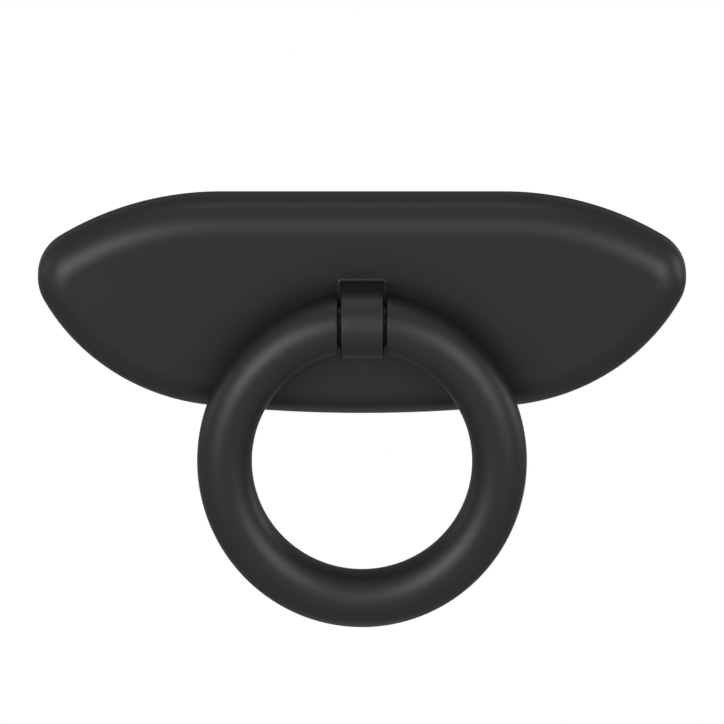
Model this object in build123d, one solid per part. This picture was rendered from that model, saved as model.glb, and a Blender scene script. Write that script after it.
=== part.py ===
from build123d import *
import os
from math import sqrt

# Drop ring pull: a cast backplate with a hinge lug, a split ring and the pin that carries it.
# X runs along the plate, Z is up and -Y faces the user. The origin is the centre of the screw
# hole on the flat back, so a depth in front of the door is a negative Y. Millimetres.

# Backplate outline: a straight top edge, then shoulder, tip, flank and keel arcs, each tangent
# to the next
plate_length = 80.0
plate_height = 28.36
top_edge_length = 34.8
shoulder_radius = 37.0
tip_radius = 5.9
flank_radius = 26.5
keel_radius = 168.0

# Backplate section
plate_thickness = 5.6
plate_edge_round = 4.05
rim_width = 3.0
pocket_depth = 3.2
pocket_corner_round = 1.5
solid_middle_length = 18.0

# Screw hole from behind, drawn at the outside of its M4 thread
screw_diameter = 4.0
screw_hole_depth = 6.0

# Hinge lug
hinge_height = 0.25
hinge_depth = 9.57
lug_middle_height = 0.1
lug_nose_radius = 4.3
lug_root_width = 5.45
lug_front_width = 5.12
lug_root_fillet = 0.3

# Hinge pin
journal_diameter = 4.94
journal_clearance = 0.05
spigot_diameter = 2.6
spigot_length = 2.7
spigot_end_chamfer = 0.25

# Ring: an oval of four arcs, a little taller than wide, measured to the middle of its round bar
ring_width = 33.92
ring_height = 36.1
ring_crown_radius = 16.5
ring_bar_diameter = 6.84
ring_end_gap = 6.05
spigot_hole_depth = 2.8

hinge_axis = Location((0, -hinge_depth, hinge_height), (0, 90, 0))


def circles_meet(centre_a: Vector, radius_a: float, centre_b: Vector, radius_b: float) -> Vector:
    """The point on two circles that lies to the right of the way from centre a to centre b."""
    way = centre_b - centre_a
    along = (radius_a**2 - radius_b**2 + way.length**2) / (2 * way.length)
    across = sqrt(radius_a**2 - along**2)
    forward = way.normalized()
    right = Vector(forward.Y, -forward.X)
    return centre_a + forward * along + right * across


def plate_outline() -> Face:
    """The backplate's outline on its flat back."""
    half_height = plate_height / 2
    top_end = Vector(top_edge_length / 2, half_height)
    shoulder_centre = top_end - Vector(0, shoulder_radius)
    tip_x = plate_length / 2 - tip_radius
    rise = sqrt((shoulder_radius - tip_radius) ** 2 - (tip_x - top_end.X) ** 2)
    tip_centre = Vector(tip_x, shoulder_centre.Y + rise)
    keel_centre = Vector(0, keel_radius - half_height)
    flank_centre = circles_meet(
        keel_centre, keel_radius - flank_radius, tip_centre, flank_radius - tip_radius
    )
    shoulder_end = tip_centre + (tip_centre - shoulder_centre).normalized() * tip_radius
    tip_end = tip_centre + (tip_centre - flank_centre).normalized() * tip_radius
    flank_end = keel_centre + (flank_centre - keel_centre).normalized() * keel_radius
    half = Curve() + [
        Line((0, half_height), top_end),
        RadiusArc(top_end, shoulder_end, shoulder_radius),
        RadiusArc(shoulder_end, tip_end, tip_radius),
        RadiusArc(tip_end, flank_end, flank_radius),
        RadiusArc(flank_end, (0, -half_height), keel_radius),
    ]
    return Plane.XZ * make_face(half + mirror(half, Plane.YZ))


def cored_pockets(outline: Face) -> Part:
    """Two pockets in the plate's back, one on each side of the solid middle."""
    floor = offset(outline, amount=-rim_width)
    pockets = extrude(floor, pocket_depth) - Box(solid_middle_length, 3 * pocket_depth, 2 * plate_height)
    middle_corners = [
        edge
        for edge in pockets.edges().filter_by(Axis.Y)
        if abs(2 * abs(edge.center().X) - solid_middle_length) < 0.01
    ]
    return fillet(middle_corners, pocket_corner_round)


def hinge_lug() -> Part:
    """The lug: a round nose over the hinge bore, narrower at the front, rooted inside the plate."""
    front_depth = hinge_depth + lug_nose_radius
    root_depth = plate_thickness / 2
    body_width = 2 * lug_root_width
    body = Pos(0, -(root_depth + hinge_depth) / 2, lug_middle_height) * Box(
        body_width, hinge_depth - root_depth, 2 * lug_nose_radius
    )
    nose = Pos(0, -hinge_depth, lug_middle_height) * Rot(0, 90, 0) * Cylinder(lug_nose_radius, body_width)
    side_slope = (lug_root_width - lug_front_width) / (front_depth - plate_thickness)
    back_width = lug_root_width + side_slope * plate_thickness
    drafted_sides = make_face(
        Polyline(
            (back_width / 2, 0),
            (lug_front_width / 2, -front_depth),
            (-lug_front_width / 2, -front_depth),
            (-back_width / 2, 0),
            close=True,
        )
    )
    height_limit = 2 * lug_nose_radius + abs(lug_middle_height)
    return (body + nose) & extrude(drafted_sides, height_limit, both=True)


def backplate() -> Part:
    """The whole casting: rounded plate, lug, cored back, screw hole and hinge bore."""
    outline = plate_outline()
    plate = extrude(outline, plate_thickness)
    plate = fillet(plate.faces().sort_by(Axis.Y)[0].edges(), plate_edge_round)
    casting = plate + hinge_lug()

    face_edges = casting.edges().filter_by_position(Axis.Y, -plate_thickness, -plate_thickness)
    root_edges = [edge for edge in face_edges if abs(edge.center().X) < lug_root_width]
    casting = fillet(root_edges, lug_root_fillet)

    screw_hole = Pos(0, -screw_hole_depth / 2, 0) * Rot(90, 0, 0) * Cylinder(
        screw_diameter / 2, screw_hole_depth
    )
    hinge_bore = hinge_axis * Cylinder(journal_diameter / 2 + journal_clearance, 2 * lug_root_width)
    return casting - cored_pockets(outline) - screw_hole - hinge_bore


def ring_path() -> Wire:
    """The middle of the ring's bar: crown and foot arcs joined by two flatter side arcs."""
    half_width = ring_width / 2
    half_height = ring_height / 2
    crown_y = half_height - ring_crown_radius
    side_radius = (half_width**2 + crown_y**2 - ring_crown_radius**2) / (
        2 * (half_width - ring_crown_radius)
    )
    crown_centre = Vector(0, crown_y)
    side_centre = Vector(half_width - side_radius, 0)
    crown_end = side_centre + (crown_centre - side_centre).normalized() * side_radius
    crown = RadiusArc((0, half_height), crown_end, ring_crown_radius)
    side = RadiusArc(crown_end, (half_width, 0), side_radius)
    quarter = Curve() + [crown, side]
    half = quarter + mirror(quarter, Plane.XZ)
    return Wire((half + mirror(half, Plane.YZ)).edges())


def pull_ring() -> Part:
    """The split ring with a spigot hole in each end."""
    path = Plane.XZ.offset(hinge_depth) * Pos(0, hinge_height - ring_height / 2) * ring_path()
    section = Plane(path @ 0, z_dir=path % 0) * Circle(ring_bar_diameter / 2)
    ring = sweep(section, path)
    gap_height = 2 * ring_bar_diameter
    ring -= Pos(0, -hinge_depth, hinge_height) * Box(ring_end_gap, gap_height, gap_height)
    end_holes = hinge_axis * Cylinder(spigot_diameter / 2, ring_end_gap + 2 * spigot_hole_depth)
    return ring - end_holes


def hinge_pin() -> Part:
    """The pin: a journal that turns in the lug, and a spigot at each end for the ring."""
    journal = Cylinder(journal_diameter / 2, ring_end_gap)
    spigots = Cylinder(spigot_diameter / 2, ring_end_gap + 2 * spigot_length)
    spigots = chamfer(spigots.edges().filter_by(GeomType.CIRCLE), spigot_end_chamfer)
    return hinge_axis * (journal + spigots)


os.makedirs("parts", exist_ok=True)
export_step(backplate(), "parts/backplate.step")
export_step(pull_ring(), "parts/pull_ring.step")
export_step(hinge_pin(), "parts/hinge_pin.step")
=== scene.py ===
import logging
import math
from dataclasses import dataclass, replace
from enum import Enum

import bmesh
import bpy
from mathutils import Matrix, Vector


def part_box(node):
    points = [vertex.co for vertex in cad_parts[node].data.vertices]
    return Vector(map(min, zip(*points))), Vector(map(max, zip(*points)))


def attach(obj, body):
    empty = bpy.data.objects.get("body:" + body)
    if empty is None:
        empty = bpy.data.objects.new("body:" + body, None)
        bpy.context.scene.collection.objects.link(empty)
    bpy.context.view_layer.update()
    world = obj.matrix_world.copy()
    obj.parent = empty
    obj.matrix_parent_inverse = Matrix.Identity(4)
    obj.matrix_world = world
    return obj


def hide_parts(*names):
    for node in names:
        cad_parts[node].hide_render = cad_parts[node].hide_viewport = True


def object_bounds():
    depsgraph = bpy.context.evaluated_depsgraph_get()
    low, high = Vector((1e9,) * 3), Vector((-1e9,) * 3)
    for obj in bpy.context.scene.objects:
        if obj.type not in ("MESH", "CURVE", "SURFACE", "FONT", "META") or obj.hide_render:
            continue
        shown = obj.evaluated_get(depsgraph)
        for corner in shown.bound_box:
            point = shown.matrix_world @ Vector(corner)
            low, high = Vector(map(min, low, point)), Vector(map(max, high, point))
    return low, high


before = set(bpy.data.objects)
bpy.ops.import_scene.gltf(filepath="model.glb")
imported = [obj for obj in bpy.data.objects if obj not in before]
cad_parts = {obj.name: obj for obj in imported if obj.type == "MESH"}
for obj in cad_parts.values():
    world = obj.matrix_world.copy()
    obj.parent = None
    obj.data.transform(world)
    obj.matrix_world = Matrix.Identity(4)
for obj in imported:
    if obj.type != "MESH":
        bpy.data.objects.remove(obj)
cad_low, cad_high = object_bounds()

# A matte black drop ring pull: the cast backplate, the split ring that swings from its lug and the
# hinge pin between them, on white under soft studio lamps. Metres.

LOG = logging.getLogger("ring_pull")
MM = 0.001

# Sizes that the lug, the ring and the pin share
HINGE_HEIGHT = 0.25 * MM
HINGE_DEPTH = 9.57 * MM
RING_END_GAP = 6.05 * MM
SPIGOT_RADIUS = 1.3 * MM

# Weight at which the smoothing favours neither large nor small faces beyond their area
NEUTRAL_WEIGHT = 50


class Grain(Enum):
    """The grain of a coating, as how many of its grains lie side by side in a millimetre."""

    POWDER = 5.0
    OILED = 9.0


@dataclass(frozen=True)
class BlackFinish:
    """A black finish with fine grain and slight unevenness.

    Attributes:
        name: The material's name.
        slot: The record's material slot that it stands for; not used.
        tone: Reflectance of the colour, the same for red, green and blue.
        roughness: Middle roughness of the surface.
        metal: Share of the surface that mirrors as metal does, in place of scattering.
        edge_tone: How much of a metal's usual gleam is left where the surface turns away.
        grain: The grain's fineness.
        relief: Height of the grain in metres.
        grain_detail: Layers of finer grain in the grain.
        cloud_scale: How many clouds of uneven roughness lie side by side in a metre.
        cloud_detail: Layers of finer clouds in the clouds.
        unevenness: How far the clouds take the roughness up and down.
    """

    name: str
    slot: str
    tone: float
    roughness: float
    metal: float
    edge_tone: float
    grain: Grain
    relief: float
    grain_detail: float = 2.0
    cloud_scale: float = 140.0
    cloud_detail: float = 3.0
    unevenness: float = 0.03

    def material(self) -> bpy.types.Material:
        """Builds the finish as a procedural material.

        Returns:
            The new material, with grain as bump and soft clouds in its roughness.
        """
        material = bpy.data.materials.new(self.name)
        material.use_nodes = True
        nodes = material.node_tree.nodes
        links = material.node_tree.links
        surface = nodes["Principled BSDF"]
        edge = self.edge_tone
        surface.inputs["Base Color"].default_value = (self.tone, self.tone, self.tone, 1.0)
        surface.inputs["Metallic"].default_value = self.metal
        surface.inputs["Specular IOR Level"].default_value = 0.0
        surface.inputs["Specular Tint"].default_value = (edge, edge, edge, 1.0)

        place = nodes.new("ShaderNodeTexCoord")
        clouds = nodes.new("ShaderNodeTexNoise")
        clouds.inputs["Scale"].default_value = self.cloud_scale
        clouds.inputs["Detail"].default_value = self.cloud_detail
        spread = nodes.new("ShaderNodeMapRange")
        spread.inputs["To Min"].default_value = self.roughness - self.unevenness
        spread.inputs["To Max"].default_value = self.roughness + self.unevenness
        links.new(place.outputs["Object"], clouds.inputs["Vector"])
        links.new(clouds.outputs["Fac"], spread.inputs["Value"])
        links.new(spread.outputs["Result"], surface.inputs["Roughness"])

        speckle = nodes.new("ShaderNodeTexNoise")
        speckle.inputs["Scale"].default_value = self.grain.value / MM
        speckle.inputs["Detail"].default_value = self.grain_detail
        bump = nodes.new("ShaderNodeBump")
        bump.inputs["Strength"].default_value = 1.0
        bump.inputs["Distance"].default_value = self.relief
        links.new(place.outputs["Object"], speckle.inputs["Vector"])
        links.new(speckle.outputs["Fac"], bump.inputs["Height"])
        links.new(bump.outputs["Normal"], surface.inputs["Normal"])
        return material


CASTING_BLACK = BlackFinish(
    name="matte_black_casting",
    slot="matte_black_casting",
    tone=0.022,
    roughness=0.43,
    metal=0.72,
    edge_tone=0.57,
    grain=Grain.POWDER,
    relief=0.000002,
)
RING_BLACK = replace(CASTING_BLACK, name="matte_black_ring", slot="matte_black_ring")
PIN_BLACK = BlackFinish(
    name="black_pin",
    slot="black_pin",
    tone=0.014,
    roughness=0.36,
    metal=0.80,
    edge_tone=0.45,
    grain=Grain.OILED,
    relief=0.000001,
)


def dress(piece: bpy.types.Object, finish: BlackFinish) -> None:
    """Gives a piece one finish over its whole surface.

    Args:
        piece: The mesh object.
        finish: The finish that replaces its materials.
    """
    piece.data.materials.clear()
    piece.data.materials.append(finish.material())


def in_front(plan: Vector, depth: float) -> Vector:
    """A point in front of the door.

    Args:
        plan: Its place on the door, as x and height.
        depth: Its distance from the door.

    Returns:
        The point in the frame.
    """
    return Vector((plan.x, -depth, plan.y))


def heading(angle: float) -> Vector:
    """The unit vector at an angle on the door, anticlockwise from +x."""
    return Vector((math.cos(angle), math.sin(angle)))


def bridge(
    mesh: bmesh.types.BMesh, loop: list[bmesh.types.BMVert], other: list[bmesh.types.BMVert]
) -> None:
    """Joins two closed loops of as many vertices by a band of four-sided faces.

    Args:
        mesh: The mesh that holds them.
        loop: One loop.
        other: The other loop, in the same order.
    """
    for step, vertex in enumerate(loop):
        before = step - 1
        mesh.faces.new((loop[before], vertex, other[step], other[before]))


def fill(mesh: bmesh.types.BMesh, loops: list[list[bmesh.types.BMVert]]) -> None:
    """Fills the flat area between an outer loop and the loops inside it.

    Args:
        mesh: The mesh that holds them.
        loops: The closed loops, all in one plane.
    """
    edges = []
    for loop in loops:
        for step, vertex in enumerate(loop):
            pair = (loop[step - 1], vertex)
            edges.append(mesh.edges.get(pair) or mesh.edges.new(pair))
    bmesh.ops.triangle_fill(mesh, use_beauty=True, edges=edges)


def finished_piece(mesh: bmesh.types.BMesh, name: str) -> bpy.types.Object:
    """Turns a built mesh into a smooth object of the scene.

    Args:
        mesh: The mesh, which is freed.
        name: The object's name.

    Returns:
        The new object.
    """
    bmesh.ops.recalc_face_normals(mesh, faces=mesh.faces)
    data = bpy.data.meshes.new(name)
    mesh.to_mesh(data)
    mesh.free()
    data.shade_smooth()
    piece = bpy.data.objects.new(name, data)
    bpy.context.scene.collection.objects.link(piece)
    flats = piece.modifiers.new("flats_first", "WEIGHTED_NORMAL")
    flats.weight = NEUTRAL_WEIGHT
    flats.keep_sharp = True
    return piece


@dataclass(frozen=True)
class Station:
    """A place on the backplate's outline, as a point on an arc.

    Attributes:
        centre: The arc's centre.
        radius: The arc's radius, 0 on a straight edge.
        angle: Direction in which the outline faces there.
    """

    centre: Vector
    radius: float
    angle: float

    def point(self, inset: float) -> Vector:
        """The place moved in from the outline by a distance."""
        return self.centre + heading(self.angle) * (self.radius - inset)

    def mirrored(self) -> "Station":
        """The same place on the other side of the middle."""
        return Station(Vector((-self.centre.x, self.centre.y)), self.radius, math.pi - self.angle)


@dataclass
class Outline:
    """The backplate's outline: a straight top edge, then arcs tangent to each other.

    Attributes:
        length: Length over the tips.
        height: Height in the middle.
        top_edge: Length of the straight top edge.
        shoulder: Radius of the arcs beside the top edge.
        tip: Radius of the tips.
        flank: Radius of the arcs below the tips.
        keel: Radius of the long bottom arc.
        steps: Mesh steps along the top edge's half and along each arc.
    """

    length: float = 80.0 * MM
    height: float = 28.36 * MM
    top_edge: float = 34.8 * MM
    shoulder: float = 37.0 * MM
    tip: float = 5.9 * MM
    flank: float = 26.5 * MM
    keel: float = 168.0 * MM
    steps: int = 24

    def keel_centre(self) -> Vector:
        """The centre of the bottom arc."""
        return Vector((0.0, self.keel - self.height / 2))

    def right_half(self) -> list[Station]:
        """The stations from the middle of the top edge round to the middle of the keel."""
        top_end = Vector((self.top_edge / 2, self.height / 2))
        shoulder_centre = top_end - Vector((0.0, self.shoulder))
        tip_x = self.length / 2 - self.tip
        tip_reach = self.shoulder - self.tip
        tip_rise = math.sqrt(tip_reach**2 - (tip_x - top_end.x) ** 2)
        tip_centre = Vector((tip_x, shoulder_centre.y + tip_rise))
        flank_centre = self.meeting(
            self.keel_centre(), self.keel - self.flank, tip_centre, self.flank - self.tip
        )
        shoulder_end = self.angle_of(tip_centre - shoulder_centre)
        tip_end = self.angle_of(tip_centre - flank_centre)
        flank_end = self.angle_of(flank_centre - self.keel_centre())
        stations = []
        for step in range(self.steps):
            along = Vector((top_end.x * step / self.steps, top_end.y))
            stations.append(Station(along, 0.0, math.pi / 2))
        for centre, radius, start, end in (
            (shoulder_centre, self.shoulder, math.pi / 2, shoulder_end),
            (tip_centre, self.tip, shoulder_end, tip_end),
            (flank_centre, self.flank, tip_end, flank_end),
            (self.keel_centre(), self.keel, flank_end, -math.pi / 2),
        ):
            for step in range(self.steps):
                stations.append(Station(centre, radius, start + (end - start) * step / self.steps))
        stations.append(Station(self.keel_centre(), self.keel, -math.pi / 2))
        return stations

    def stations(self) -> list[Station]:
        """All stations once round the outline."""
        right = self.right_half()
        left = [station.mirrored() for station in reversed(right[1:-1])]
        return right + left

    @staticmethod
    def angle_of(way: Vector) -> float:
        """The angle of a vector on the door, anticlockwise from +x."""
        return math.atan2(way.y, way.x)

    @staticmethod
    def meeting(centre: Vector, radius: float, other: Vector, other_radius: float) -> Vector:
        """The point on two circles to the right of the way from one centre to the other."""
        way = other - centre
        along = (radius**2 - other_radius**2 + way.length**2) / (2 * way.length)
        across = math.sqrt(radius**2 - along**2)
        forward = way.normalized()
        return centre + forward * along + Vector((forward.y, -forward.x)) * across


@dataclass
class Lug:
    """The hinge lug: round nose, sides that draw in towards the front, cross bore.

    Attributes:
        hinge_height: Height of the hinge axis.
        hinge_depth: Distance of the hinge axis from the door.
        middle_height: Height of the lug's own middle.
        nose: Radius of the nose.
        root_width: Width at the plate's face.
        front_width: Width at the nose.
        edge: Radius of its edges.
        root_fillet: Radius of the fillet at its root.
        neck: Distance from the root to where the bore's part begins.
        bore: Radius of the bore.
        bore_break: Width of the bore's broken edge.
        edge_steps: Mesh steps over an edge or the root's fillet.
        flat_steps: Mesh steps over each flat side.
        nose_steps: Mesh steps over the nose.
    """

    hinge_height: float = HINGE_HEIGHT
    hinge_depth: float = HINGE_DEPTH
    middle_height: float = 0.1 * MM
    nose: float = 4.3 * MM
    root_width: float = 5.45 * MM
    front_width: float = 5.12 * MM
    edge: float = 0.18 * MM
    root_fillet: float = 0.3 * MM
    neck: float = 1.3 * MM
    bore: float = 2.52 * MM
    bore_break: float = 0.1 * MM
    edge_steps: int = 5
    flat_steps: int = 6
    nose_steps: int = 48

    def half_width(self, depth: float, face: float) -> float:
        """Half its width at a distance from the door, for a face at another."""
        front = self.hinge_depth + self.nose
        share = (depth - face) / (front - face)
        return (self.root_width + share * (self.front_width - self.root_width)) / 2

    def across(self, half_width: float, edge: float) -> list[tuple[float, float]]:
        """Steps from its left side over an outer surface to its right side.

        Args:
            half_width: Half its width there.
            edge: Radius of the edges.

        Returns:
            For each step, the place across and the distance in from the outer surface.
        """
        arc = []
        for step in range(self.edge_steps + 1):
            turn = math.pi / 2 * step / self.edge_steps
            arc.append((half_width - edge * (1 - math.cos(turn)), edge * (1 - math.sin(turn))))
        flat = half_width - edge
        middle = [(flat * (2 * step / self.flat_steps - 1), 0.0) for step in range(1, self.flat_steps)]
        left = [(-place, inset) for place, inset in arc]
        return left + middle + list(reversed(arc))

    def section(self, depth: float, face: float, grow: float) -> list[Vector]:
        """The closed loop of its root part at one depth, from the left side over the top.

        Args:
            depth: Distance from the door.
            face: Distance of the plate's face from the door.
            grow: Distance out from its sides.

        Returns:
            The loop's points.
        """
        half_width = self.half_width(depth, face) + grow
        half_height = self.nose + grow
        steps = self.across(half_width, self.edge + grow)
        straight = half_height - self.edge - grow
        side = [straight * (1 - 2 * step / self.flat_steps) for step in range(1, self.flat_steps)]
        top = [(place, half_height - inset) for place, inset in steps]
        right = [(half_width, height) for height in side]
        bottom = [(-place, inset - half_height) for place, inset in steps]
        left = [(-half_width, -height) for height in side]
        lift = Vector((0.0, self.middle_height))
        return [in_front(Vector(plan) + lift, depth) for plan in top + right + bottom + left]

    def crest(self, start: float) -> list[tuple[float, float, float]]:
        """The way over its outer surface in the middle plane, from the neck's top to its bottom.

        Args:
            start: Depth at which the neck ends.

        Returns:
            For each step, the depth, the height over its middle and the angle that it faces.
        """
        reach = self.hinge_depth - start
        top = []
        for step in range(self.flat_steps):
            top.append((start + reach * step / self.flat_steps, self.nose, math.pi / 2))
        bottom = [(depth, -height, -angle) for depth, height, angle in reversed(top)]
        front = []
        for step in range(self.nose_steps + 1):
            angle = math.pi * (0.5 - step / self.nose_steps)
            front.append(
                (self.hinge_depth + self.nose * math.cos(angle), self.nose * math.sin(angle), angle)
            )
        return top + front + bottom

    def build(self, mesh: bmesh.types.BMesh, face: float) -> list[bmesh.types.BMVert]:
        """Adds the lug to the casting's mesh.

        Args:
            mesh: The casting's mesh.
            face: Distance of the plate's face from the door.

        Returns:
            The loop where its root fillet meets the face.
        """
        loops = []
        for step in range(self.edge_steps + 1):
            turn = math.pi / 2 * step / self.edge_steps
            grow = self.root_fillet * (1 - math.sin(turn))
            depth = face + self.root_fillet * (1 - math.cos(turn))
            loops.append([mesh.verts.new(point) for point in self.section(depth, face, grow)])
        neck_end = face + self.neck
        loops.append([mesh.verts.new(point) for point in self.section(neck_end, face, 0.0)])
        for loop, next_loop in zip(loops, loops[1:]):
            bridge(mesh, loop, next_loop)
        self.build_head(mesh, loops[-1], face)
        return loops[0]

    def build_head(self, mesh: bmesh.types.BMesh, neck: list[bmesh.types.BMVert], face: float) -> None:
        """Adds the part around the bore, on top of the neck's last loop.

        Args:
            mesh: The casting's mesh.
            neck: The neck's last loop.
            face: Distance of the plate's face from the door.
        """
        crest = self.crest(face + self.neck)
        width = 2 * self.edge_steps + self.flat_steps + 1
        side = self.flat_steps - 1
        rows = [neck[:width]]
        for depth, height, angle in crest[1:-1]:
            row = []
            for place, inset in self.across(self.half_width(depth, face), self.edge):
                plan = Vector((place, self.middle_height + height - inset * math.sin(angle)))
                row.append(mesh.verts.new(in_front(plan, depth - inset * math.cos(angle))))
            rows.append(row)
        rows.append(list(reversed(neck[width + side:2 * width + side])))
        for row, next_row in zip(rows, rows[1:]):
            for step in range(1, width):
                mesh.faces.new((row[step - 1], row[step], next_row[step], next_row[step - 1]))
        left_edge = [row[0] for row in rows] + neck[2 * width + side:]
        right_edge = [row[-1] for row in rows] + list(reversed(neck[width:width + side]))
        bores = []
        for edge, sign in ((left_edge, -1), (right_edge, 1)):
            rim, wall = self.bore_loops(mesh, edge, sign, face)
            bridge(mesh, edge, rim)
            bridge(mesh, rim, wall)
            bores.append(wall)
        bridge(mesh, bores[0], bores[1])

    def bore_loops(
        self, mesh: bmesh.types.BMesh, edge: list[bmesh.types.BMVert], sign: int, face: float
    ) -> tuple[list[bmesh.types.BMVert], list[bmesh.types.BMVert]]:
        """The bore's broken edge on one side, in line with that side's outer edge.

        Args:
            mesh: The casting's mesh.
            edge: The side's outer edge.
            sign: -1 on the left, 1 on the right.
            face: Distance of the plate's face from the door.

        Returns:
            The loop on the side's face and the loop in the bore.
        """
        rim = []
        wall = []
        for vertex in edge:
            angle = math.atan2(vertex.co.z - self.hinge_height, -vertex.co.y - self.hinge_depth)
            for loop, radius, inset in (
                (rim, self.bore + self.bore_break, 0.0),
                (wall, self.bore, self.bore_break),
            ):
                depth = self.hinge_depth + radius * math.cos(angle)
                plan = Vector((
                    sign * (self.half_width(depth, face) - inset),
                    self.hinge_height + radius * math.sin(angle),
                ))
                loop.append(mesh.verts.new(in_front(plan, depth)))
        return rim, wall


@dataclass
class Pocket:
    """A cored pocket in the plate's back, beside the solid middle.

    Attributes:
        rim: Width of the rim around it.
        middle: Half the length of the solid middle.
        depth: Its depth.
        corner: Radius of its two corners at the middle.
        edge: Radius of the edge at the back and of the floor's fillet.
        first: Least distance from the middle of the outline stations that it follows.
        corner_steps: Mesh steps over a corner.
        edge_steps: Mesh steps over an edge or fillet.
    """

    rim: float = 3.0 * MM
    middle: float = 9.0 * MM
    depth: float = 3.2 * MM
    corner: float = 1.5 * MM
    edge: float = 0.3 * MM
    first: float = 11.2 * MM
    corner_steps: int = 8
    edge_steps: int = 4

    def loop(self, outline: Outline, inset: float, sign: int) -> list[Vector]:
        """Its outline, moved in by a distance.

        Args:
            outline: The plate's outline.
            inset: Distance in from its wall.
            sign: -1 for the left pocket, 1 for the right one.

        Returns:
            The places on the door.
        """
        rim = self.rim + inset
        corner = self.corner - inset
        corner_x = self.middle + self.corner
        top = Vector((corner_x, outline.height / 2 - rim - corner))
        keel = outline.keel_centre()
        reach = outline.keel - rim - corner
        bottom = Vector((corner_x, keel.y - math.sqrt(reach**2 - corner_x**2)))
        bottom_end = Outline.angle_of(bottom - keel) + math.tau
        points = []
        for step in range(self.corner_steps + 1):
            angle = math.pi - math.pi / 2 * step / self.corner_steps
            points.append(top + heading(angle) * corner)
        for station in outline.right_half():
            if station.point(self.rim).x > self.first:
                points.append(station.point(rim))
        for step in range(self.corner_steps + 1):
            angle = bottom_end + (math.pi - bottom_end) * step / self.corner_steps
            points.append(bottom + heading(angle) * corner)
        return [Vector((sign * point.x, point.y)) for point in points]

    def build(self, mesh: bmesh.types.BMesh, outline: Outline, sign: int) -> list[bmesh.types.BMVert]:
        """Adds one pocket to the casting's mesh.

        Args:
            mesh: The casting's mesh.
            outline: The plate's outline.
            sign: -1 for the left pocket, 1 for the right one.

        Returns:
            The loop of its edge in the plate's back.
        """
        turns = [math.pi / 2 * step / self.edge_steps for step in range(self.edge_steps + 1)]
        edge = [(self.edge * (math.sin(turn) - 1), self.edge * (1 - math.cos(turn))) for turn in turns]
        floor = [
            (self.edge * (1 - math.cos(turn)), self.depth - self.edge * (1 - math.sin(turn)))
            for turn in turns
        ]
        loops = []
        for inset, depth in edge + floor:
            plan = self.loop(outline, inset, sign)
            loops.append([mesh.verts.new(in_front(point, depth)) for point in plan])
        for loop, next_loop in zip(loops, loops[1:]):
            bridge(mesh, loop, next_loop)
        fill(mesh, [loops[-1]])
        return loops[0]


@dataclass
class ScrewHole:
    """The tapped hole in the plate's back.

    Attributes:
        radius: Outside radius of the thread.
        ridge: Height of the thread's ridges.
        pitch: Distance between the ridges.
        depth: Depth of the hole.
        mouth: Depth and width of the chamfer at its mouth.
        runout: Depth of the cone at its end.
        lead_in: Share of the thread over which its ridges rise to their full height.
        steps_around: Mesh steps around.
        steps_deep: Mesh steps along the thread.
    """

    radius: float = 2.0 * MM
    ridge: float = 0.36 * MM
    pitch: float = 0.7 * MM
    depth: float = 6.0 * MM
    mouth: float = 0.3 * MM
    runout: float = 0.8 * MM
    lead_in: float = 0.1
    steps_around: int = 48
    steps_deep: int = 72

    def wall(self, share: float) -> list[Vector]:
        """One loop of the thread.

        Args:
            share: Way from the mouth, 0, to the runout, 1.

        Returns:
            The loop's points in the frame.
        """
        depth = self.mouth + share * (self.depth - self.runout - self.mouth)
        swell = min(1.0, share / self.lead_in)
        points = []
        for step in range(self.steps_around):
            turn = step / self.steps_around
            phase = (depth / self.pitch - turn) % 1.0
            height = self.ridge * swell * (1 - abs(2 * phase - 1))
            points.append(in_front(heading(math.tau * turn) * (self.radius - height), depth))
        return points

    def build(self, mesh: bmesh.types.BMesh) -> list[bmesh.types.BMVert]:
        """Adds the hole to the casting's mesh and returns the loop of its mouth."""
        mouth = []
        runout = []
        thread_end = self.depth - self.runout
        for step in range(self.steps_around):
            way = heading(math.tau * step / self.steps_around)
            mouth.append(mesh.verts.new(in_front(way * (self.radius + self.mouth), 0.0)))
            runout.append(mesh.verts.new(in_front(way * (self.radius - self.ridge), thread_end)))
        loops = [mouth]
        for step in range(self.steps_deep):
            loops.append([mesh.verts.new(point) for point in self.wall(step / self.steps_deep)])
        loops.append(runout)
        for loop, next_loop in zip(loops, loops[1:]):
            bridge(mesh, loop, next_loop)
        end = mesh.verts.new(in_front(Vector((0.0, 0.0)), self.depth))
        for step, vertex in enumerate(runout):
            mesh.faces.new((runout[step - 1], vertex, end))
        return mouth


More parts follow.
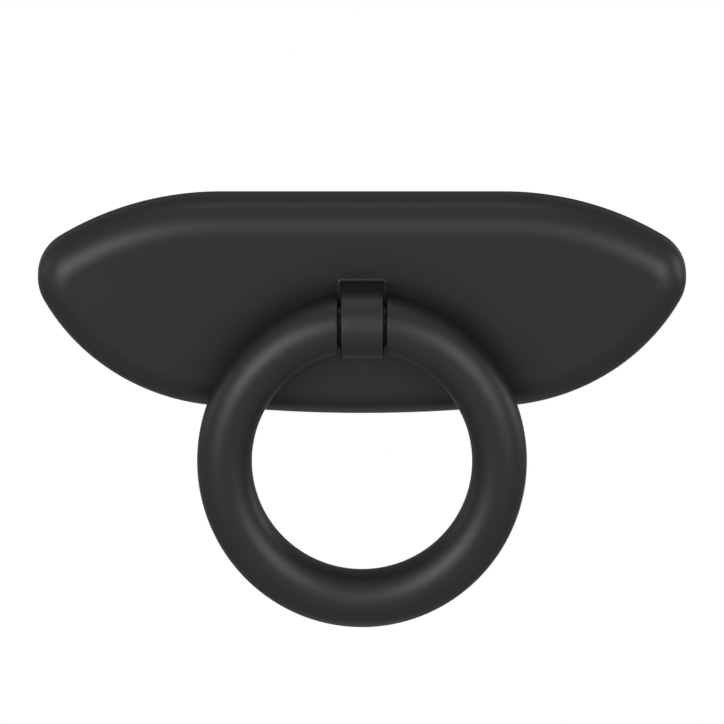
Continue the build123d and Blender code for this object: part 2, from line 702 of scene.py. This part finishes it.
@dataclass
class Backplate:
    """The cast backplate with its lug, cored back and screw hole.

    Attributes:
        node: The CAD node that it stands for.
        body: The body that it rides on.
        thickness: Thickness of the plate.
        edge_round: Radius of its front edge.
        back_edge: Radius of its back edge.
        flat_margins: Distances from the front edge's round to two loops in the flat face.
        round_steps: Mesh steps over the front edge's round.
        back_steps: Mesh steps over the back edge.
    """

    node: str = "backplate"
    body: str = "base"
    thickness: float = 5.6 * MM
    edge_round: float = 4.05 * MM
    back_edge: float = 0.2 * MM
    flat_margins: tuple[float, float] = (0.15 * MM, 0.6 * MM)
    round_steps: int = 24
    back_steps: int = 4

    def profile(self) -> list[tuple[float, float]]:
        """The plate's edge from back to front, as distance in from the outline and depth."""
        steps = []
        for step in range(self.back_steps + 1):
            turn = math.pi / 2 * step / self.back_steps
            steps.append((self.back_edge * (1 - math.sin(turn)), self.back_edge * (1 - math.cos(turn))))
        for step in range(self.round_steps + 1):
            turn = math.pi / 2 * step / self.round_steps
            rise = self.edge_round * (1 - math.sin(turn))
            steps.append((self.edge_round * (1 - math.cos(turn)), self.thickness - rise))
        for margin in self.flat_margins:
            steps.append((self.edge_round + margin, self.thickness))
        return steps

    def build(self) -> bpy.types.Object:
        """Builds the casting's mesh, dresses it and lets it stand for its node."""
        outline = Outline()
        stations = outline.stations()
        mesh = bmesh.new()
        loops = []
        for inset, depth in self.profile():
            loops.append([mesh.verts.new(in_front(station.point(inset), depth)) for station in stations])
        for loop, next_loop in zip(loops, loops[1:]):
            bridge(mesh, loop, next_loop)
        fill(mesh, [loops[-1], Lug().build(mesh, self.thickness)])
        openings = [Pocket().build(mesh, outline, sign) for sign in (-1, 1)]
        openings.append(ScrewHole().build(mesh))
        fill(mesh, [loops[0]] + openings)
        casting = finished_piece(mesh, "backplate_casting")
        dress(casting, CASTING_BLACK)
        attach(casting, self.body)
        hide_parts(self.node)
        return casting


@dataclass
class PullRing:
    """The split ring: a round ring stretched alike in height and depth.

    Attributes:
        node: The CAD node that it stands for.
        body: The body that it moves with.
        hinge_height: Height of the hinge axis, on the middle of the bar.
        half_width: Half its width, to the middle of the bar.
        half_height: Half its height, to the middle of the bar.
        bar_radius: Half the bar's thickness across, before the stretch.
        end_gap: Distance between its two ends.
        end_round: Rounding of the ends' edges.
        hole_radius: Radius of the ends' holes for the pin.
        hole_depth: Depth of those holes.
        steps_along: Mesh steps along the bar.
        steps_around: Mesh steps around the bar.
        steps_round: Mesh steps over an end's rounding.
    """

    node: str = "pull_ring"
    body: str = "ring"
    hinge_height: float = HINGE_HEIGHT
    half_width: float = 16.96 * MM
    half_height: float = 18.05 * MM
    bar_radius: float = 3.39 * MM
    end_gap: float = RING_END_GAP
    end_round: float = 0.12 * MM
    hole_radius: float = SPIGOT_RADIUS
    hole_depth: float = 2.8 * MM
    steps_along: int = 288
    steps_around: int = 96
    steps_round: int = 6

    def centre(self) -> Vector:
        """The middle of the ring, from its CAD box and its hinge."""
        low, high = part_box(self.node)
        return Vector((0.0, (low.y + high.y) / 2, self.hinge_height - self.half_height))

    def point(self, across: float, bar_turn: float, radius: float) -> Vector:
        """A point on the bar's surface.

        Args:
            across: Angle along the ring from its top, clockwise as seen from the front.
            bar_turn: Angle around the bar, from its outer side.
            radius: Radius of the bar there.

        Returns:
            The point, measured from the ring's centre.
        """
        tallness = self.half_height / self.half_width
        reach = self.half_width + radius * math.cos(bar_turn)
        depth = tallness * radius * math.sin(bar_turn)
        return Vector((reach * math.sin(across), depth, tallness * reach * math.cos(across)))

    def loop(self, share: float, inset: float, radius: float) -> list[Vector]:
        """One loop of points around the bar.

        Args:
            share: Way along the bar, from 0 at one end to 1 at the other.
            inset: Distance of the end planes from the ends' faces.
            radius: The bar's radius.

        Returns:
            The loop's points, measured from the ring's centre.
        """
        points = []
        for step in range(self.steps_around):
            bar_turn = math.tau * step / self.steps_around
            reach = self.half_width + radius * math.cos(bar_turn)
            start = math.asin((self.end_gap / 2 + inset) / reach)
            across = start + share * (math.tau - 2 * start)
            points.append(self.point(across, bar_turn, radius))
        return points

    def loops(self) -> list[list[Vector]]:
        """All loops from one end's face round to the other's."""
        rounding = []
        for step in range(self.steps_round + 1):
            turn = math.pi / 2 * step / self.steps_round
            inset = self.end_round * (1 - math.sin(turn))
            shrink = self.end_round * (1 - math.cos(turn))
            rounding.append((inset, self.bar_radius - shrink))
        result = [self.loop(0.0, inset, radius) for inset, radius in reversed(rounding)]
        for step in range(1, self.steps_along):
            result.append(self.loop(step / self.steps_along, self.end_round, self.bar_radius))
        result += [self.loop(1.0, inset, radius) for inset, radius in rounding]
        return result

    def build_end(self, mesh: bmesh.types.BMesh, edge: list[bmesh.types.BMVert], sign: int) -> None:
        """Closes one end of the bar around its blind hole for the pin.

        Args:
            mesh: The ring's mesh.
            edge: The last loop of the bar.
            sign: 1 for the right end, -1 for the left one.
        """
        hinge = self.centre() + Vector((0.0, 0.0, self.half_height))
        face = self.end_gap / 2
        loops = [edge]
        for place in (face, face + self.hole_depth):
            middle = hinge + Vector((sign * place, 0.0, 0.0))
            loop = []
            for vertex in edge:
                way = Vector((0.0, vertex.co.y - hinge.y, vertex.co.z - hinge.z)).normalized()
                loop.append(mesh.verts.new(middle + way * self.hole_radius))
            loops.append(loop)
        for loop, next_loop in zip(loops, loops[1:]):
            bridge(mesh, loop, next_loop)
        mesh.faces.new(loops[-1])

    def build(self) -> bpy.types.Object:
        """Builds the ring's mesh, dresses it and lets it stand for its node."""
        mesh = bmesh.new()
        centre = self.centre()
        rows = [[mesh.verts.new(centre + point) for point in loop] for loop in self.loops()]
        for row, next_row in zip(rows, rows[1:]):
            bridge(mesh, row, next_row)
        for row, sign in ((rows[0], 1), (rows[-1], -1)):
            self.build_end(mesh, row, sign)
        ring = finished_piece(mesh, "pull_ring_bar")
        dress(ring, RING_BLACK)
        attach(ring, self.body)
        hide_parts(self.node)
        return ring


@dataclass
class HingePin:
    """The pin between the ring's ends: a journal in the lug's bore, a spigot in each end.

    Attributes:
        node: The CAD node that it stands for.
        body: The body that it moves with.
        hinge_height: Height of the hinge axis.
        hinge_depth: Distance of the hinge axis from the door.
        journal_radius: Radius of the journal.
        journal_length: Length of the journal, between the ring's ends.
        spigot_radius: Radius of the spigots.
        spigot_length: Length of each spigot.
        spigot_chamfer: Width of the chamfer at the spigots' ends.
        edge_break: Width of the journal's broken edges.
        steps_around: Mesh steps around.
        crease: Angle from which an edge stays crisp.
    """

    node: str = "hinge_pin"
    body: str = "ring"
    hinge_height: float = HINGE_HEIGHT
    hinge_depth: float = HINGE_DEPTH
    journal_radius: float = 2.47 * MM
    journal_length: float = RING_END_GAP
    spigot_radius: float = SPIGOT_RADIUS
    spigot_length: float = 2.7 * MM
    spigot_chamfer: float = 0.25 * MM
    edge_break: float = 0.08 * MM
    steps_around: int = 96
    crease: float = math.radians(30)

    def profile(self) -> list[tuple[float, float]]:
        """Its outline from left to right, as distance from the middle and radius."""
        shoulder = self.journal_length / 2
        end = shoulder + self.spigot_length
        right = [
            (shoulder - self.edge_break, self.journal_radius),
            (shoulder, self.journal_radius - self.edge_break),
            (shoulder, self.spigot_radius),
            (end - self.spigot_chamfer, self.spigot_radius),
            (end, self.spigot_radius - self.spigot_chamfer),
        ]
        return [(-place, radius) for place, radius in reversed(right)] + right

    def loop(self, place: float, radius: float) -> list[Vector]:
        """One loop of points around the hinge axis.

        Args:
            place: Distance from the middle, to the right.
            radius: Radius of the loop.

        Returns:
            The loop's points in the frame.
        """
        points = []
        for step in range(self.steps_around):
            way = heading(math.tau * step / self.steps_around) * radius
            points.append(in_front(Vector((place, self.hinge_height + way.y)), self.hinge_depth + way.x))
        return points

    def build(self) -> bpy.types.Object:
        """Turns the pin's mesh, dresses it and lets it stand for its node."""
        mesh = bmesh.new()
        loops = []
        for place, radius in self.profile():
            loops.append([mesh.verts.new(point) for point in self.loop(place, radius)])
        for loop, next_loop in zip(loops, loops[1:]):
            bridge(mesh, loop, next_loop)
        mesh.faces.new(loops[0])
        mesh.faces.new(loops[-1])
        for edge in mesh.edges:
            edge.smooth = edge.calc_face_angle() < self.crease
        pin = finished_piece(mesh, "hinge_pin_steel")
        dress(pin, PIN_BLACK)
        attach(pin, self.body)
        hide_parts(self.node)
        return pin


@dataclass
class Lamp:
    """A round soft lamp aimed at the object.

    Attributes:
        name: The lamp's name.
        toward: Direction from the object to the lamp.
        distance: Distance from the object in metres.
        size: Diameter of the lamp in metres.
        power: Power in watts.
    """

    name: str
    toward: tuple[float, float, float]
    distance: float
    size: float
    power: float

    def build(self, target: Vector) -> bpy.types.Object:
        """Hangs the lamp.

        Args:
            target: The point that it faces.

        Returns:
            The lamp's object.
        """
        data = bpy.data.lights.new(self.name, "AREA")
        data.shape = "DISK"
        data.size = self.size
        data.energy = self.power
        lamp = bpy.data.objects.new(self.name, data)
        direction = Vector(self.toward).normalized()
        lamp.location = target + direction * self.distance
        lamp.rotation_mode = "QUATERNION"
        lamp.rotation_quaternion = (-direction).to_track_quat("-Z", "Y")
        lamp.visible_camera = False
        bpy.context.scene.collection.objects.link(lamp)
        return lamp


@dataclass
class Studio:
    """Floor, white surroundings, lamps and the camera.

    Attributes:
        elevation: The camera's height above the horizon in degrees.
        lens: Focal length in millimetres on the sensor's width.
        sensor: Sensor width in millimetres.
        aim: The point in the middle of the picture.
        frame_width: Width of the picture at that point.
        floor_drop: Distance of the floor below the object.
        floor_size: Side of the floor.
        floor_tone: The floor's reflectance for light that falls on the object from it.
        floor_roughness: The floor's roughness.
        view_range: Distance from the camera up to which things are seen.
        fill: Strength of the surroundings' light on the object.
        lamps: The lamps around the object.
    """

    elevation: float = 20.0
    lens: float = 1400.0
    sensor: float = 36.0
    aim: tuple[float, float, float] = (0.0, -8.0 * MM, -5.38 * MM)
    frame_width: float = 89.24 * MM
    floor_drop: float = 0.25
    floor_size: float = 0.44
    floor_tone: float = 0.8
    floor_roughness: float = 0.9
    view_range: float = 100.0
    fill: float = 0.5
    lamps: tuple[Lamp, ...] = (
        Lamp("front_left", (-0.572, -0.785, 0.250), 0.6, 0.44, 4.5),
        Lamp("front_right", (0.639, -0.735, 0.235), 0.6, 0.44, 3.2),
        Lamp("front_middle", (0.03, -0.875, 0.485), 0.6, 0.30, 0.27),
        Lamp("overhead", (0.0, 0.12, 1.0), 0.6, 0.22, 0.46),
        Lamp("side_left", (-0.947, 0.309, 0.081), 0.6, 0.30, 0.60),
        Lamp("side_right", (0.947, 0.309, 0.081), 0.6, 0.30, 1.50),
        Lamp("low_bounce", (0.0, 0.28, -1.0), 0.2, 0.12, 0.045),
    )

    def floor_material(self) -> bpy.types.Material:
        """A pale surface that shows as plain white to the eye and in gloss.

        Returns:
            The material.
        """
        material = bpy.data.materials.new("pale_floor")
        material.use_nodes = True
        nodes = material.node_tree.nodes
        links = material.node_tree.links
        pale = nodes["Principled BSDF"]
        tone = self.floor_tone
        pale.inputs["Base Color"].default_value = (tone, tone, tone, 1.0)
        pale.inputs["Roughness"].default_value = self.floor_roughness
        white = nodes.new("ShaderNodeEmission")
        mix = nodes.new("ShaderNodeMixShader")
        links.new(self.direct_ray(nodes, links), mix.inputs["Fac"])
        links.new(pale.outputs["BSDF"], mix.inputs[1])
        links.new(white.outputs["Emission"], mix.inputs[2])
        links.new(mix.outputs["Shader"], nodes["Material Output"].inputs["Surface"])
        return material

    @staticmethod
    def direct_ray(nodes: bpy.types.Nodes, links: bpy.types.NodeLinks) -> bpy.types.NodeSocket:
        """A value of 1 for rays of the eye, of gloss and of glass, and 0 for other light.

        Args:
            nodes: The node tree's nodes.
            links: The node tree's links.

        Returns:
            The socket that holds the value.
        """
        rays = nodes.new("ShaderNodeLightPath")
        gloss_too = nodes.new("ShaderNodeMath")
        gloss_too.operation = "MAXIMUM"
        glass_too = nodes.new("ShaderNodeMath")
        glass_too.operation = "MAXIMUM"
        links.new(rays.outputs["Is Camera Ray"], gloss_too.inputs[0])
        links.new(rays.outputs["Is Glossy Ray"], gloss_too.inputs[1])
        links.new(gloss_too.outputs["Value"], glass_too.inputs[0])
        links.new(rays.outputs["Is Transmission Ray"], glass_too.inputs[1])
        return glass_too.outputs["Value"]

    def build_floor(self) -> bpy.types.Object:
        """Lays the pale floor below the object."""
        half = self.floor_size / 2
        height = cad_low.z - self.floor_drop
        corners = [
            (-half, -half, height),
            (half, -half, height),
            (half, half, height),
            (-half, half, height),
        ]
        data = bpy.data.meshes.new("floor")
        data.from_pydata(corners, [], [(0, 1, 2, 3)])
        floor = bpy.data.objects.new("floor", data)
        bpy.context.scene.collection.objects.link(floor)
        floor.data.materials.append(self.floor_material())
        return floor

    def build_world(self) -> None:
        """Surrounds the object with white that fills its shadows softly."""
        world = bpy.data.worlds.new("white_room")
        world.use_nodes = True
        nodes = world.node_tree.nodes
        links = world.node_tree.links
        soft = nodes["Background"]
        soft.inputs["Color"].default_value = (1.0, 1.0, 1.0, 1.0)
        soft.inputs["Strength"].default_value = self.fill
        white = nodes.new("ShaderNodeBackground")
        white.inputs["Color"].default_value = (1.0, 1.0, 1.0, 1.0)
        white.inputs["Strength"].default_value = 1.0
        mix = nodes.new("ShaderNodeMixShader")
        links.new(self.direct_ray(nodes, links), mix.inputs["Fac"])
        links.new(soft.outputs["Background"], mix.inputs[1])
        links.new(white.outputs["Background"], mix.inputs[2])
        links.new(mix.outputs["Shader"], nodes["World Output"].inputs["Surface"])
        bpy.context.scene.world = world

    def build_camera(self) -> bpy.types.Object:
        """Sets the camera at the photograph's viewing angle, with a long lens."""
        data = bpy.data.cameras.new("camera")
        data.lens = self.lens
        data.sensor_width = self.sensor
        data.clip_end = self.view_range
        camera = bpy.data.objects.new("camera", data)
        angle = math.radians(self.elevation)
        back = Vector((0.0, -math.cos(angle), math.sin(angle)))
        distance = self.frame_width * self.lens / self.sensor
        camera.location = Vector(self.aim) + back * distance
        camera.rotation_mode = "QUATERNION"
        camera.rotation_quaternion = (-back).to_track_quat("-Z", "Y")
        bpy.context.scene.collection.objects.link(camera)
        bpy.context.scene.camera = camera
        return camera

    def build(self) -> None:
        """Builds the whole studio."""
        self.build_floor()
        self.build_world()
        self.build_camera()
        for lamp in self.lamps:
            lamp.build(Vector(self.aim))
        bpy.context.scene.view_settings.view_transform = "Standard"


def main() -> None:
    """Builds the object piece by piece, then the studio around it."""
    logging.basicConfig(level=logging.INFO)
    for assembly in (Backplate(), PullRing(), HingePin()):
        piece = assembly.build()
        LOG.info("%s: %d faces", piece.name, len(piece.data.polygons))
    Studio().build()


if __name__ == "__main__":
    main()
